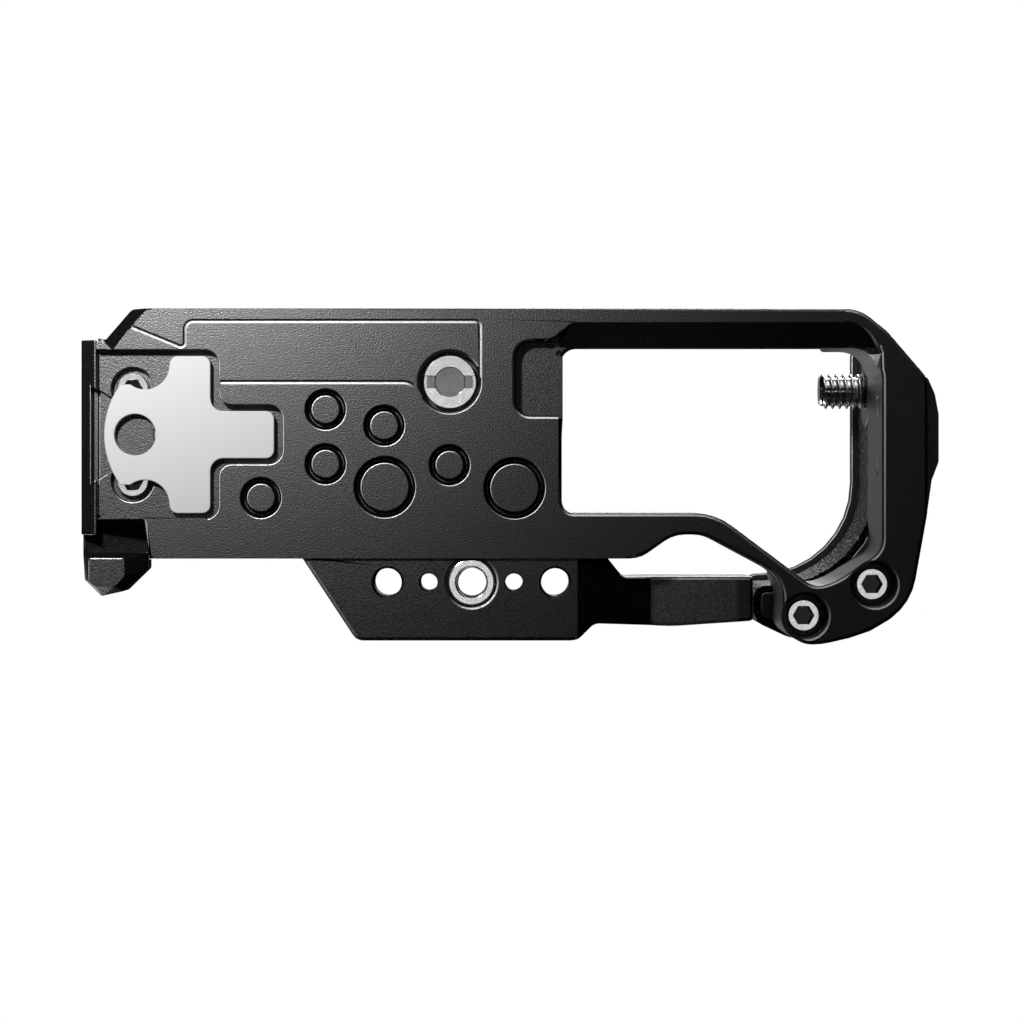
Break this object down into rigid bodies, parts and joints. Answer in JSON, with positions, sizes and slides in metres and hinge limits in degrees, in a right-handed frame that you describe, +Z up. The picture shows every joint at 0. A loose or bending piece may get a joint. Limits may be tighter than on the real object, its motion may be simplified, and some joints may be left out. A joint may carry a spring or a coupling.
{
  "type": "camera cage",
  "caption": "Half-open camera cage with a windowed deck, captive camera screw, side locking knob, leather-grained grip, left frame and top arm with an accessory shoe.",
  "frame": {"origin": "middle of the cage's footprint, on the underside of the deck", "axes": "+X towards the grip side, +Y towards the lens side, +Z up as the cage stands on a tripod"},
  "size_m": [0.1492, 0.0576, 0.1006],
  "materials": {
    "black_anodised": "bead-blasted and black anodised",
    "bright_steel": "turned and polished",
    "dark_steel": "blackened",
    "grey_key": "light grey satin coat",
    "magnet_plate": "nickel plated",
    "leather_grain": "leather-grained moulding",
    "nylon": "natural nylon",
    "pad_rubber": "matt"
  },
  "bodies": {
    "cage": {"base_plate": "black_anodised", "left_upright": "black_anodised", "upright_screws": "bright_steel", "grip_core": "black_anodised", "grip_sleeve": "leather_grain", "grip_cap": "black_anodised", "grip_cap_screws": "dark_steel", "grip_screws": "bright_steel", "key_magnets": "magnet_plate", "tripod_insert": "bright_steel", "side_plate": "black_anodised", "side_plate_screws": "dark_steel", "top_plate": "black_anodised", "top_screws": "bright_steel", "cold_shoe": "black_anodised", "cold_shoe_screws": "dark_steel", "deck_pad": "pad_rubber", "top_pad": "pad_rubber"},
    "screw_ring": {"camera_screw_ring": "dark_steel"},
    "screw": {"camera_screw": "bright_steel"},
    "knob_washer": {"side_lock_washer": "nylon"},
    "knob": {"side_lock_knob": "bright_steel"},
    "key": {"flat_key": "grey_key"}
  },
  "joints": [
    {"name": "camera_screw_travel", "type": "slide", "parent": "cage", "child": "screw_ring", "axis": [0, 0, -1], "range_m": [0, 0.00382]},
    {"name": "camera_screw_spin", "type": "hinge", "parent": "screw_ring", "child": "screw", "pos_m": [-0.01127, -0.01624, 0], "axis": [0, 0, -1], "range_deg": [0, 1080]},
    {"name": "side_knob_travel", "type": "slide", "parent": "cage", "child": "knob_washer", "axis": [1, 0, 0], "range_m": [0, 0.00636]},
    {"name": "side_knob_spin", "type": "hinge", "parent": "knob_washer", "child": "knob", "pos_m": [0.068, -0.0155, 0.034], "axis": [1, 0, 0], "range_deg": [0, 1800]},
    {"name": "key_lift", "type": "slide", "parent": "cage", "child": "key", "axis": [0, 0, -1], "range_m": [0, 0.03]}
  ],
  "couplings": [
    {"joint": "camera_screw_travel", "follows": "camera_screw_spin", "m_per_rad": 0.00020213},
    {"joint": "side_knob_travel", "follows": "side_knob_spin", "m_per_rad": 0.00020213}
  ]
}
